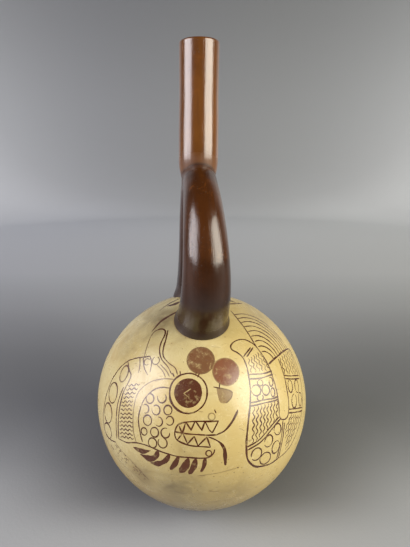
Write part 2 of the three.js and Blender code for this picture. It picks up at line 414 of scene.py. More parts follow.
class Painting:
    """Brush strokes as triangles in the flattened plane, later ones over earlier ones."""

    STEP = 0.7

    def __init__(self, seed):
        self.chart = None
        self.random = random.Random(seed)
        self.points = []
        self.faces = []
        self.paint = []  # ink, tone and wear of each face

    def _add(self, places, faces, ink, tone, wear):
        start = len(self.points)
        self.points += [tuple(p) for p in places]
        for a, b, c in faces:
            (ax, ay), (bx, by), (cx, cy) = places[a], places[b], places[c]
            turn = (bx - ax) * (cy - ay) - (by - ay) * (cx - ax)
            if abs(turn) > 1e-8:
                face = (a, b, c) if turn > 0 else (a, c, b)
                self.faces.append([start + i for i in face])
                self.paint.append((ink, tone, wear))

    def line(self, points, width=LINE, tone=DARK, ink=1.0, wear=0.1, closed=False):
        """A smooth stroke through points. A row of widths swells and thins it along its length."""
        widths = np.atleast_1d(width)
        curve = smooth(points, 12) if len(points) > 2 else np.array(points, float)
        curve = evenly(curve, self.STEP)
        share = np.linspace(0, 1, len(curve))
        wide = np.interp(share, np.linspace(0, 1, len(widths)), widths) + SPREAD
        at = share * lengths(curve)[-1]
        phase = [self.random.uniform(0, 6.28) for _ in range(4)]
        wide = wide * (1 + 0.14 * np.sin(at / 2.9 + phase[0]) + 0.1 * np.sin(at / 1.1 + phase[1]))
        way = np.gradient(curve, axis=0)
        way /= np.linalg.norm(way, axis=1)[:, None]
        aside = np.stack([-way[:, 1], way[:, 0]], 1)
        sway = 0.1 * np.sin(at / 4.3 + phase[2]) + 0.05 * np.sin(at / 1.7 + phase[3])
        if not closed:
            curve = curve + aside * sway[:, None]
            tip = np.minimum(at, at[::-1])
            wide = wide * np.clip(0.62 + 0.38 * tip / 1.2, 0, 1)
        half = (wide / 2)[:, None]
        left, right = curve + aside * half, curve - aside * half
        places = np.stack([left, right], 1).reshape(-1, 2)
        faces = []
        for i in range(0, len(places) - 2, 2):
            faces += [(i, i + 1, i + 3), (i, i + 3, i + 2)]
        if not closed:
            for end, back in ((0, -1), (len(curve) - 1, 1)):
                cap = curve[end] + way[end] * back * wide[end] * 0.45
                faces.append((2 * end, 2 * end + 1, len(places)))
                places = np.vstack([places, cap])
        self._add(flatten(self.chart.wrap(places)), faces, ink, tone, wear)

    def ring(self, x, y, radius, height=None, turn=0, width=FINE, start=0, sweep=360, **paint):
        """A ring, an oval if height is given, or part of one, drawn from an angle onward."""
        height = height or radius
        count = max(int(2 * math.pi * max(radius, height) / self.STEP), 12)
        angle = np.radians(np.linspace(start, start + sweep, count + 1))
        c, s = math.cos(math.radians(turn)), math.sin(math.radians(turn))
        across, along = radius * np.cos(angle), height * np.sin(angle)
        points = np.stack([x + across * c - along * s, y + across * s + along * c], 1)
        self.line(points, width, closed=sweep == 360, **paint)

    def area(self, outline, tone=DARK, ink=1.0, wear=0.1):
        """A filled shape, whose outline is star-shaped about its middle."""
        outline = evenly(smooth([*outline, outline[0]], 8), 1.0)[:-1]
        places = np.vstack([outline, outline.mean(0)])
        last = len(outline)
        faces = [(i, (i + 1) % last, last) for i in range(last)]
        self._add(flatten(self.chart.wrap(places)), faces, ink, tone, wear)

    def disc(self, x, y, radius, **paint):
        angle = np.linspace(0, 2 * np.pi, 13)[:-1]
        wobble = radius * (1 + 0.012 * np.sin(3 * angle + x))
        self.area(np.stack([x + wobble * np.cos(angle), y + wobble * np.sin(angle)], 1), **paint)

    def wave(self, start, end, length=3.4, swing=0.62, width=FINE, **paint):
        """A wavy line from start to end, with about that length of wave."""
        start, end = np.array(start, float), np.array(end, float)
        reach = np.linalg.norm(end - start)
        way = (end - start) / reach
        aside = np.array([-way[1], way[0]])
        waves = max(round(reach / length * 2) / 2, 1)
        t = np.linspace(0, 1, int(waves * 8) + 1)[:, None]
        points = start + way * reach * t + aside * swing * np.sin(2 * np.pi * waves * t)
        self.line(points, width, **paint)

    def waves(self, starts, ends, count, **style):
        """Wavy lines side by side, between two rows of places."""
        for share in np.linspace(0, 1, count):
            self.wave(between(*starts, share), between(*ends, share), **style)


def between(a, b, share):
    return np.array(a) * (1 - share) + np.array(b) * share


def paint_eye_and_discs(p, plain):
    p.disc(-6.8, 0.3, 7.5, tone=0.12, wear=0.15)
    p.line([(-9.2, 0), (-5.4, 2.3)], 0.4, ink=0.35)
    p.line([(-9.2, 0), (-7, -1.6)], 0.4, ink=0.5)
    p.ring(-6.8, 0.2, 10.1, width=LINE, start=-60, sweep=170)
    p.ring(-6.8, 0.2, 10.1, width=(0.6, 1.0, 0.6), start=105, sweep=200)
    p.disc(-0.2, 17.5, 7.6, tone=UMBER, wear=0.62)
    p.ring(-0.2, 17.5, 7.5, width=0.4, tone=0.2, ink=0.8)
    p.disc(13.6, 11.4, 7.5, tone=ROSE, wear=0.4)
    p.ring(13.6, 11.4, 7.4, width=0.35, tone=0.5, ink=0.7)
    for x, y, way in ((-15.6, 9.6, 1.0), (-11.4, 10.6, 0.4), (-2.6, 10, -0.4), (-0.8, 9.2, -0.9)):
        p.line([(x, y + 0.9), (x + way, y - 0.9)], LINE)
    if plain:
        return
    cup = [(8.2, 2.6), (12, 2.4), (16.4, 1.2), (16.2, -2), (13.4, -4.8), (10.2, -4.6), (8.8, -1)]
    p.area(cup, tone=0.45, ink=0.75, wear=0.75)
    p.line([(8, 2.8), (12, 2.3), (16.5, 1), (16.2, -2), (13.4, -4.9)], FINE, ink=0.8)
    p.line([(10, 5.2), (9.7, 2.4)], LINE)
    p.line([(6.6, 3.2), (9.2, 2.7)], FINE)
    p.ring(5.6, -11.6, 1.8, ink=0.55)
    p.line([(7.2, -8.2), (7.9, -9.8)], LINE)


def paint_mouth(p):
    top = [(-14, -19.4), (-12, -15.9), (-7, -14.3), (0, -13.9), (9.3, -13.8)]
    middle = [(-14, -19.5), (-9, -20.2), (0, -20.7), (8.6, -20.9)]
    bottom = [(-14, -19.5), (-12.8, -23.4), (-7.5, -26), (-1, -27), (5, -27.4)]
    for lips in (top, middle, bottom):
        p.line(lips, LINE)
    upper_teeth = [(-7.8, -14.5), (-5.1, -18.6), (-3.2, -14.2), (-2.4, -14.1), (0.6, -18.7), (2, -14.1)]
    upper_teeth += [(4.4, -18.4), (5.9, -19.8), (9.3, -13.8)]
    lower_teeth = [(-9.6, -20.4), (-7, -25.8), (-3.6, -21.6), (-1.6, -26.8), (3, -21.8), (5, -27.4)]
    for teeth in (upper_teeth, lower_teeth):
        for a, b in zip(teeth, teeth[1:]):
            p.line([a, b], (0.7, 0.5))
    for end in ((-8.3, -14.9), (-11.4, -16.4), (-12.4, -23.8)):
        p.line([(-9.8, -20.1), end], (0.8, 0.5))
    p.line([(8.4, -20.8), (12.5, -18.9), (16.5, -14.6), (19.6, -8.5)], (0.6, 0.6, 1.1, 1.2))
    p.line([(4, -22), (8, -23.6), (11, -26), (13, -30), (13.5, -38)], (0.5, 0.7, 1.6, 1.7, 1.5))


def paint_jaw(p):
    jaw = [(-52.6, -27.8), (-46, -28.7), (-39, -27.7), (-33, -27.9), (-27, -29.4), (-20, -31.3)]
    jaw += [(-12, -32.8), (0, -33.5), (4.6, -32.9), (6.6, -30.8), (7.2, -28.7)]
    p.line(jaw, LINE)
    p.ring(4.2, -30.7, 1.6)
    fins = [
        ([(-40.5, -30.8), (-34.5, -32.3), (-28.6, -31)], (0.5, 3.2, 0.5)),
        ([(-24, -30.6), (-25.6, -34), (-30, -36), (-36, -34.3)], (2.3, 3.2, 3, 0.4)),
        ([(-17.5, -32.2), (-20, -36), (-24.3, -38.5), (-29.6, -38.7)], (2.1, 3, 3, 0.4)),
        ([(-12.1, -33), (-14.3, -37.2), (-17.2, -41)], (1.8, 2.3, 2.5)),
        ([(-6.8, -34), (-8.6, -38.3), (-11.4, -42)], (3, 3.9, 3.4)),
        ([(-2.7, -34.2), (-4.2, -38.8), (-6.4, -42.8)], (2.2, 3.3, 3.4)),
        ([(2.4, -33.6), (1.7, -37.8), (0, -41.5)], (1.9, 2.1, 1.9)),
    ]
    for spine, widths in fins:
        p.line(spine, [width * 1.05 for width in widths], tone=0.1, wear=0.3)


def paint_cheek(p):
    """Rows of small rings, between two curved bands."""
    for y, xs in (
        (-2.6, (-28.3, -20.9)),
        (-8.2, (-31, -24.2, -17.8)),
        (-14.2, (-29.2, -22.6, -16.4)),
        (-20.4, (-31.6, -25, -18.6)),
        (-26, (-27.6, -21)),
    ):
        for x in xs:
            x, dy = x + p.random.uniform(-0.6, 0.6), p.random.uniform(-0.5, 0.5)
            radius = p.random.uniform(1.9, 2.7)
            start, sweep = p.random.uniform(0, 360), p.random.choice((360, 360, 300, 230))
            p.ring(x, y + dy, radius, radius * 1.08, start=start, sweep=sweep, width=(0.4, 0.65, 0.4))
    inner = [(-16.6, 2.6), (-21.5, 3), (-27, 1.4), (-32, -3.5), (-34.7, -10), (-35.4, -17)]
    inner += [(-33.6, -26.5)]
    outer = [(-14.8, 7.2), (-21, 7.7), (-28, 6.2), (-34.5, 2), (-37.9, -4), (-39.3, -12)]
    outer += [(-39.4, -20), (-38, -27.4)]
    p.line(inner, (0.5, 0.5, 0.7))
    p.line(outer, FINE, ink=0.75)


def paint_mane(p):
    """A band of short waves, then a band of ovals, behind the cheek."""
    edge = [(-46.5, 19.5), (-44.3, 13.6), (-42.3, 10.5), (-43.8, 6.5), (-47.4, 0), (-50, -8)]
    edge += [(-51.7, -16), (-52.6, -27.8)]
    p.line(edge, (0.7, 0.6, 0.8, 0.8, 0.7))
    p.line([(-47.5, 3.6), (-50.8, -3), (-52.8, -10), (-54, -18), (-54.6, -28)], LINE)
    rows = np.linspace(4.5, -26, 14)
    ends = np.interp(rows, [-27.8, -16, -8, 0, 6.5], [-52.6, -51.7, -50, -47.4, -43.8])
    for y, x in zip(rows, ends):
        inner_x = -39.9 + max(y + 4, 0) * 0.55
        p.wave((inner_x, y + 0.6), (x + 1.2, y), length=3.1, swing=0.55, width=0.5)
    for x, y, across, along, turn in (
        (-48.3, 11.7, 3.2, 5.2, -20),
        (-57.5, 0.4, 4.6, 6.4, -8),
        (-63.2, -12.8, 5, 6.6, -4),
        (-65.6, -25, 4.8, 5.4, 10),
    ):
        p.ring(x, y, across, along, turn, width=(0.8, 0.5, 0.9, 0.5), start=200, sweep=355)
    rim = [(-46.5, 19.5), (-53, 16), (-59.5, 9.5), (-64, 2), (-68.5, -8), (-71.5, -18), (-70.5, -26)]
    rim += [(-64, -30.8), (-56.5, -31)]
    p.line(rim, LINE)


def paint_headdress(p):
    p.line([(-46.5, 19.7), (-40, 20.6), (-30, 21)], LINE)
    for post in (
        [(-37.2, 20.6), (-36.4, 16), (-36.8, 11.5)],
        [(-34.6, 20.8), (-33.3, 14.6), (-30.4, 10)],
        [(-30, 20.8), (-28.6, 17), (-29, 11.5)],
    ):
        p.line(post, (0.7, 0.45))
    p.ring(-31.8, 17.6, 1.9, start=30, sweep=280)
    p.ring(-26, 18, 2.3, start=120, sweep=300)
    p.line([(-34, 21), (-33.4, 27), (-31.8, 35.2)], FINE, ink=0.8)
    plume = [(-31.8, 34.8), (-29.5, 37.8), (-25.5, 39), (-22.6, 37.4), (-22.3, 34), (-24, 28.5)]
    plume += [(-24.4, 23.5), (-22.5, 18.5), (-18.5, 14), (-15.9, 10)]
    p.line(plume, (0.5, 0.7, 0.9, 0.6, 0.45, 0.4))
    quill = [(-20.8, 37.5), (-21.2, 31.5), (-22, 26), (-21.6, 20.5), (-18.5, 16.6)]
    quill += [(-14.4, 13.4), (-13, 9.8)]
    p.line(quill, (0.6, 1.0, 0.5, 0.4, 0.4))
    for shift in (0, 2.2):
        p.line([(-25.2 + shift, 15.5), (-21.6 + shift, 12), (-19.6 + shift, 8.8)], 0.4, ink=0.8)
    p.line([(-32, 38), (-27.5, 45), (-20.5, 50.5), (-13.5, 55)], (0.5, 1.4, 1.7, 0.7))
    p.line([(-26, 62.6), (-20.5, 63.2), (-15, 67)], (0.8, 3.4, 1.2))
    p.line([(-31, 58), (-25, 66), (-16, 74)], (0.6, 1.3, 0.8))


def paint_speckled_band(p):
    """A faint band of dabs under the mane."""
    upper = [(-57, -31.8), (-50, -37), (-44, -41), (-38, -46.5), (-33, -52.5)]
    lower = [(-70, -33), (-62, -42), (-53, -47.8), (-44, -52), (-37, -57.5)]
    p.line(upper, FINE, ink=0.6)
    p.line(lower, FINE, ink=0.45)
    for i in range(70):
        share = p.random.uniform(0.05, 1)
        at = share * (len(upper) - 1)
        k = min(int(at), len(upper) - 2)
        edge = between(upper[k], upper[k + 1], at - k)
        far = between(lower[k], lower[k + 1], at - k)
        x, y = between(edge, far, p.random.choice((0.05, 0.12, 0.2, 0.3, 0.5, 0.75)))
        p.disc(x, y, p.random.uniform(0.35, 0.7), ink=0.9)
    p.line([(-2, -44.6), (12, -42.3), (20.6, -40.7)], FINE, ink=0.4)
    p.disc(21, -40.5, 0.6, ink=0.85)


def paint_head(p, plain=False):
    paint_eye_and_discs(p, plain)
    paint_mouth(p)
    paint_jaw(p)
    paint_cheek(p)
    paint_mane(p)
    paint_headdress(p)
    if not plain:
        paint_speckled_band(p)


def paint_body(p):
    """A long body folded over like an arch, in belts of waves and rings."""
    lobe = [(34.2, 26.8), (31, 29.5), (26, 31.2), (20.5, 30), (17.2, 26.8), (17.6, 24)]
    lobe += [(21, 22.2), (24, 19.6)]
    lobe += [(25.7, 15), (26.8, 7), (27.1, -3), (26.3, -11), (25.2, -20), (25.2, -29), (27, -36.5)]
    lobe += [(31.5, -41.3), (37, -42.9), (44, -42.8), (50.3, -40.8)]
    p.line(lobe, (0.6, 0.6, 0.7, 0.95, 1.1, 1.0))
    for shift in (0, 1.9):
        p.line([(24.5 + shift, 20.2), (29.5 + shift, 26.4)], LINE)
    for belt in (
        [(27.2, 10.2), (35, 10.9), (42.8, 13)],
        [(27, 7.7), (35, 8.6), (43.4, 10.9)],
        [(27.2, -4.9), (35, -3.7), (42, -3), (46.2, -1.8)],
        [(27.2, -6.6), (35, -5.4), (41, -4.6), (46.4, -3.5)],
        [(25.4, -28.6), (32, -25.8), (37, -22), (42.5, -17), (47.6, -13.2)],
        [(26.2, -30.3), (33, -27.3), (38.5, -23), (43.6, -18.4), (48.8, -14.4)],
        [(50.4, -16.5), (50.3, -26), (49.6, -34), (48.6, -41.6)],
        [(52, -17.5), (51.7, -27), (51, -35), (50.3, -41)],
        [(53.2, 10.9), (60, 11.3), (66, 12), (73, 12.8)],
        [(53.6, 9), (62, 9.4), (73.6, 10.4)],
        [(56, -9.7), (65, -10), (75.6, -10.2)],
        [(56.3, -11.9), (65, -12.3), (75.2, -12.6)],
    ):
        p.line(belt, (0.75, 0.6, 0.8))
    upper, lower = [(27.4, 19.3), (35.4, 24.6)], [(28.6, 11.4), (41.4, 13.4)]
    p.waves(upper, lower, 6, width=0.4, length=3.6, ink=0.85)
    for x in np.linspace(29.2, 45.3, 8):
        top = np.interp(x, [27, 35, 46], [-7.4, -6.2, -4.3])
        foot = np.interp(x, [25.4, 32, 37, 42.5, 47.6], [-28, -25.2, -21.3, -16.3, -12.6])
        p.wave((x, top), (x - 0.4, foot), length=4.2, swing=0.6, width=0.5)
    p.waves([(51.5, 22.6), (67.5, 33)], [(54.6, 12), (71.4, 13.6)], 7, width=0.45, length=3.6)
    for share in np.linspace(0.08, 0.92, 6):
        start = between((57.5, -13), (73, -15), share)
        end = between((52.8, -21), (57, -37.5), share)
        p.wave(start, end, length=4.4, swing=0.6, width=0.5)
    for x, y, across, along, turn in (
        (30.8, 1.7, 2.9, 2.9, 0),
        (37.3, 1.9, 2.6, 2.9, 0),
        (33.8, 5.7, 1.9, 1.7, 0),
        (33.2, -2.3, 2, 1.7, 0),
        (41.4, 6.5, 1.5, 2.6, 0),
        (42.3, 0.6, 1.5, 2.5, 0),
        (46.3, -20.8, 2.8, 3.5, 10),
        (39.9, -26.8, 3, 3.6, -8),
        (46.3, -31.8, 3, 4.1, -8),
        (32.1, -33.8, 3.4, 3.8, -20),
        (39, -37.6, 4, 3.9, -20),
        (58.6, 4.4, 2.5, 4, 0),
        (67.2, 4.8, 2.8, 4.4, 0),
        (62.4, -4.8, 3, 4.4, 0),
        (71.2, -4, 2.6, 4.6, 0),
    ):
        start, sweep = p.random.uniform(60, 300), p.random.choice((360, 350, 330))
        p.ring(x, y, across, along, turn, start=start, sweep=sweep, width=(0.45, 0.75, 0.5))
    fold = [(20.3, 55), (24.8, 45.5), (28.8, 38), (33.8, 27.5), (38.5, 20.5), (41, 15.5), (43.5, 8.5)]
    fold += [(45.6, 0), (46.6, -7), (47.2, -12), (48.4, -14.7), (51.5, -15.5), (54.6, -14), (56, -9)]
    fold += [(55.6, -3), (54.2, 5), (52.6, 13), (50.3, 21.5)]
    p.line(fold, (0.6, 0.6, 0.65, 0.6))
    p.line([(41.4, 17.2), (48, 22), (55, 26.8), (61.5, 30.4), (68.6, 33.2)], (0.9, 1.1, 0.7))
    hub, level, upright = np.array([41.2, 17.2]), np.array([20.4, 13.2]), np.array([-17, 29.6])
    for size in np.linspace(0.24, 1.14, 9):
        turns = np.linspace(0, math.pi / 2, 6)
        ribs = [hub + size * (level * math.cos(t) + upright * math.sin(t)) for t in turns]
        p.line(ribs, (0.5, 0.8, 0.5))
    flank = [(68.6, 33.2), (73, 23), (75.6, 11), (76, -3), (73.6, -17), (68, -28.5)]
    flank += [(60, -37), (50.3, -41)]
    p.line(flank, LINE)


def paint_vessel():
    p = Painting(seed=11)
    for azimuth, plain in ((0, False), (180, True)):
        p.chart = Chart(azimuth, 34)
        paint_head(p, plain)
        paint_body(p)
    return p


# ---- The painted ball ------------------------------------------------------------------------


def corner_areas(places, triangles):
    """Areas of triangles in the flattened plane."""
    a, b, c = (places[triangles[:, i]] for i in range(3))
    return abs((b - a)[:, 0] * (c - a)[:, 1] - (b - a)[:, 1] * (c - a)[:, 0]) / 2


def topmost(covers, areas, sizes):
    """For each triangle the last brush face over it, or -1. A face that the triangulation spread far
    past its own size is left out."""
    triangle = np.repeat(np.arange(len(covers)), [len(faces) for faces in covers])
    face = np.array([f for faces in covers for f in faces], int)
    spread = np.bincount(face, areas[triangle], len(sizes))
    sound = spread[face] < 1.5 * sizes[face] + 1e-7
    top = np.full(len(covers), -1)
    np.maximum.at(top, triangle[sound], face[sound])
    return top


def ball_shell():
    """The ball's outside, whose triangles follow the brush strokes, with its base."""
    painting = paint_vessel()
    strokes = np.array(painting.points)
    near = kdtree.KDTree(len(strokes))
    for i, place in enumerate(unflatten(strokes)):
        near.insert(place, i)
    near.balance()

    area = 2 * math.pi * (1 - math.sin(base_meets))
    count = int(area / (BALL_SPACING / BALL_RADIUS) ** 2 * 2 / math.sqrt(3))
    order = np.arange(count) + 0.5
    z = 1 - order / count * (1 - math.sin(base_meets))
    turn = order * math.pi * (3 - math.sqrt(5))
    level = np.sqrt(1 - z**2)
    spiral = np.stack([level * np.cos(turn), level * np.sin(turn), z], 1)
    spiral = spiral[spiral[:, 2] > math.sin(base_meets + 0.6 * BALL_SPACING / BALL_RADIUS)]
    gap = CLEAR_OF_STROKES / BALL_RADIUS
    spiral = np.array([d for d in spiral if near.find(d)[2] > gap])

    border_turn = np.linspace(0, 2 * np.pi, BORDER_SIDES, endpoint=False)
    border = np.stack(
        [
            math.cos(base_meets) * np.cos(border_turn),
            math.cos(base_meets) * np.sin(border_turn),
            np.full(BORDER_SIDES, math.sin(base_meets)),
        ],
        1,
    )
    places = np.vstack([flatten(border), flatten(spiral), strokes])
    first_stroke = BORDER_SIDES + len(spiral)
    edges = [(i, (i + 1) % BORDER_SIDES) for i in range(BORDER_SIDES)]
    faces = [[first_stroke + i for i in face] for face in painting.faces]
    flat, _, triangles, sources, _, painted = geometry.delaunay_2d_cdt(
        [Vector(place) for place in places], edges, faces, 0, 1e-6, True
    )
    flat = np.array([tuple(place) for place in flat])
    triangles = np.array([tuple(t) for t in triangles])
    sizes = corner_areas(strokes, np.array(painting.faces))
    top = topmost(painted, corner_areas(flat, triangles), sizes)
    paint = np.vstack([painting.paint, (0, 0, 0)])[top]
    directions = unflatten(flat)
    points = directions * BALL_RADIUS + np.array([0, 0, ball_centre])
    home = {source: i for i, of in enumerate(sources) for source in of if source < BORDER_SIDES}
    ring = [home[i] for i in range(BORDER_SIDES)]

    slope = np.sqrt(np.maximum((1 - directions[:, 2]) / 2, 0))  # equal areas of the ball on the map
    turn = np.arctan2(directions[:, 1], directions[:, 0])
    disc = np.stack([slope * np.cos(turn), slope * np.sin(turn)], 1)
    uvs = on_map(MAP_BALL, 0.5 + 0.5 * disc)[triangles]

    # The base: round its edge, then flat
    edge = arc(BASE_EDGE_RADIUS, edge_x, BASE_EDGE_RADIUS, base_meets, -math.pi / 2, 6)
    profile = np.vstack([edge, np.linspace(edge[-1], (0, 0), 7)[1:-1]])
    reach = lengths(np.vstack([profile, (0, 0)]))
    reach = reach[-1] - reach
    rings, base_triangles, base_uvs = [ring], [], []
    start = len(points)
    for radius, height in profile[1:]:
        rows = np.stack([radius * np.cos(border_turn), radius * np.sin(border_turn)], 1)
        points = np.vstack([points, np.column_stack([rows, np.full(BORDER_SIDES, height)])])
        rings.append(list(range(start, start + BORDER_SIDES)))
        start += BORDER_SIDES
    points = np.vstack([points, (0, 0, 0)])
    around = np.stack([np.cos(border_turn), np.sin(border_turn)], 1)
    wide = reach[0] * 1.02

    def spot(k, i):
        return 0.5 + 0.5 * around[i % BORDER_SIDES] * reach[k] / wide

    for k, (upper, lower) in enumerate(zip(rings, rings[1:])):
        for i in range(BORDER_SIDES):
            j = (i + 1) % BORDER_SIDES
            base_triangles += [(upper[i], lower[i], lower[j]), (upper[i], lower[j], upper[j])]
            a, b, c, d = spot(k, i), spot(k + 1, i), spot(k + 1, j), spot(k, j)
            base_uvs += [(a, b, c), (a, c, d)]
    last = len(rings) - 1
    for i in range(BORDER_SIDES):
        j = (i + 1) % BORDER_SIDES
        base_triangles.append((rings[-1][i], start, rings[-1][j]))
        base_uvs.append((spot(last, i), (0.5, 0.5), spot(last, j)))
    base_uvs = on_map(MAP_BASE, np.array(base_uvs))

    triangles = np.vstack([triangles, base_triangles])
    shell = Shell(points, triangles, np.concatenate([uvs, base_uvs]), CREAM, points[triangles])
    paint = np.vstack([paint, np.zeros((len(base_triangles), 3))])
    shell.paint = dict(zip(("ink", "tone", "wear"), paint.T))
    return shell


# ---- The vessel as one mesh ------------------------------------------------------------------


def mesh_object(name, shell):
    mesh = bpy.data.meshes.new(name)
    count = len(shell.triangles)
    mesh.vertices.add(len(shell.points))
    mesh.loops.add(count * 3)
    mesh.polygons.add(count)
    mesh.vertices.foreach_set("co", (shell.points * MM).astype(np.float32).ravel())
    mesh.loops.foreach_set("vertex_index", shell.triangles.astype(np.int32).ravel())
    mesh.polygons.foreach_set("loop_start", np.arange(0, count * 3, 3, dtype=np.int32))
    mesh.update(calc_edges=True)
    uv = mesh.uv_layers.new(name="OFBake")
    uv.data.foreach_set("uv", shell.uvs.astype(np.float32).ravel())
    grain = mesh.attributes.new("grain", "FLOAT_VECTOR", "CORNER")
    grain.data.foreach_set("vector", (shell.grain * MM).astype(np.float32).ravel())
    kind = mesh.attributes.new("kind", "FLOAT", "FACE")
    kind.data.foreach_set("value", shell.kinds.astype(np.float32))
    for label in ("ink", "tone", "wear"):
        values = shell.paint.get(label, np.zeros(count))
        mesh.attributes.new(label, "FLOAT", "FACE").data.foreach_set("value", values.astype(np.float32))
    piece = bpy.data.objects.new(name, mesh)
    bpy.context.scene.collection.objects.link(piece)
    return piece


def combine(piece, others, operation):
    """Joins the others to the piece, or cuts them out of it, and removes them."""
    for other in others:
        modifier = piece.modifiers.new(operation, "BOOLEAN")
        modifier.operation = operation
        modifier.solver = "EXACT"
        modifier.object = other
        depsgraph = bpy.context.evaluated_depsgraph_get()
        made = bpy.data.meshes.new_from_object(
            piece.evaluated_get(depsgraph), preserve_all_data_layers=True, depsgraph=depsgraph
        )
        piece.modifiers.clear()
        piece.data = made
        bpy.data.objects.remove(other)


def read(collection, what, width, kind=np.float32):
    values = np.empty(len(collection) * width, kind)
    collection.foreach_get(what, values)
    return values.reshape(-1, width) if width > 1 else values


def to_tube(points):
    """Distance from the arch's outer surface."""
    along = np.linspace(-half_length, half_length, 300)
    side = np.where(along < 0, -1.0, 1.0)
    distance = np.abs(along)
    place, _ = along_arch(distance)
    middle = stand_arch(np.stack([bow(distance), side * place[:, 0], place[:, 1]], 1))
    radius = tube_radius(distance)
    nearest = np.full(len(points), 1e9)
    for centre, size in zip(middle, radius):
        nearest = np.minimum(nearest, np.linalg.norm(points - centre, axis=1) - size)
    return np.abs(nearest)


def to_spout(points):
    """Distance from the spout's outer surface."""
    aside = np.hypot(points[:, 0] - lean(points[:, 2]), points[:, 1])
    radius = np.interp(points[:, 2], spout_side[:, 1], spout_side[:, 0])
    below = np.maximum(WAIST_HEIGHT - SPOUT_SINK - points[:, 2], 0)
    return np.hypot(aside - radius, below)


# Smoke and soil on the ball: place on the front chart, reach and depth
STAINS = [
    (-30, 47, 17, 0.55),
    (-48, 34, 12, 0.35),
    (-10, 30, 9, 0.25),
    (-14, -54, 14, 0.6),
    (-36, -50, 11, 0.4),
    (-6, -30, 8, 0.25),
    (44, 56, 14, 0.3),
    (20, -60, 14, 0.3),
]


def add_surface_facts(mesh):
    """Nearness to a luted joint, and stains, at each point, and the smooth ball's own normals."""
    points = read(mesh.vertices, "co", 3) / MM
    to_ball = np.abs(from_ball_centre(points) - BALL_RADIUS)
    distances = np.sort(np.stack([to_ball, to_tube(points), to_spout(points)]), axis=0)
    joint = np.minimum(distances[1], FAR_FROM_JOINTS)
    mesh.attributes.new("joint", "FLOAT", "POINT").data.foreach_set("value", joint.astype(np.float32))
    stain = np.zeros(len(points))
    front = Chart(0, 34)
    for x, y, reach, depth in STAINS:
        middle = front.wrap((x, y)) * BALL_RADIUS + np.array([0, 0, ball_centre])
        away = np.linalg.norm(points - middle, axis=1) / reach
        stain = np.maximum(stain, depth * np.exp(-(away**2)))
    mesh.attributes.new("stain", "FLOAT", "POINT").data.foreach_set("value", stain.astype(np.float32))

    kinds = read(mesh.attributes["kind"].data, "value", 1)
    mesh.polygons.foreach_set("material_index", np.round(kinds).astype(np.int32))
    mesh.polygons.foreach_set("use_smooth", np.ones(len(mesh.polygons), bool))
    mesh.set_sharp_from_angle(angle=math.radians(CREASE_ANGLE))
    mesh.update()
    normals = read(mesh.corner_normals, "vector", 3)
    corner_points = points[read(mesh.loops, "vertex_index", 1, np.int32)]
    sizes = read(mesh.polygons, "loop_total", 1, np.int32)
    cream = np.repeat(np.round(kinds) == CREAM, sizes)
    on_ball = cream & (np.abs(from_ball_centre(corner_points) - BALL_RADIUS) < 0.05)
    on_ball &= corner_points[:, 2] > ball_centre * 0.2
    outward = (corner_points - np.array([0, 0, ball_centre])) / BALL_RADIUS
    normals[on_ball] = outward[on_ball]
    mesh.normals_split_custom_set(normals.tolist())


def vessel_piece():
    piece = mesh_object("painted_vessel", ball_shell())
    arch = mesh_object("arch", arch_shell(0, FOOT_SINK, TUBE_SIDES, TUBE_STEPS, MAP_ARCH, RED))
    combine(piece, [arch, mesh_object("spout", spout_shell())], "UNION")
    hollow = mesh_object("hollow", ball_hollow_shell())
    bore = arch_shell(TUBE_WALL, HOLLOW_RUN_ON, INNER_SIDES, INNER_STEPS, MAP_ARCH_HOLLOW, CLAY)
    combine(hollow, [mesh_object("bore", bore), mesh_object("mouth", spout_hollow_shell())], "UNION")
    combine(piece, [hollow], "DIFFERENCE")
    add_surface_facts(piece.data)
    return piece


# ---- Materials -------------------------------------------------------------------------------


def srgb(red, green, blue):
    """A colour written in 0..255 as the shader's linear values."""
    values = [v / 255 for v in (red, green, blue)]
    return tuple(v / 12.92 if v <= 0.04045 else ((v + 0.055) / 1.055) ** 2.4 for v in values) + (1.0,)


